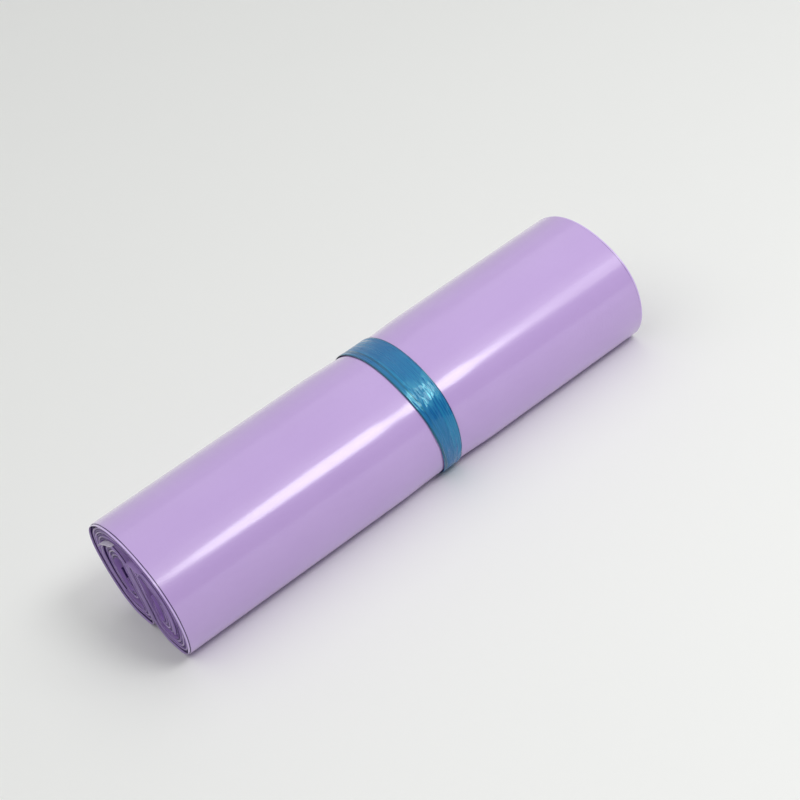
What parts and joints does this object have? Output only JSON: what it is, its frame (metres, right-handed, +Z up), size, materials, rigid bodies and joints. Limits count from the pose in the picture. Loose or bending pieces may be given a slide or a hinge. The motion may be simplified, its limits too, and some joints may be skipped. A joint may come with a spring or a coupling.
{
  "type": "roll of poly mailer bags",
  "caption": "Stack of flat glossy film mailer bags, rolled up from its two ends into a double scroll and tied round the middle with a strip of blue film.",
  "frame": {"origin": "on the surface that the roll lies on, under the middle of its box", "axes": "+X along the roll, towards the end that the tie is nearer to, +Y across it, +Z up"},
  "size_m": [0.28, 0.082, 0.063],
  "materials": {
    "bag_film": "glossy lilac polyethylene film",
    "band_film": "shiny blue stretched film"
  },
  "bodies": {
    "root": {"bag_roll": "bag_film", "tie_band": "band_film"}
  },
  "joints": []
}
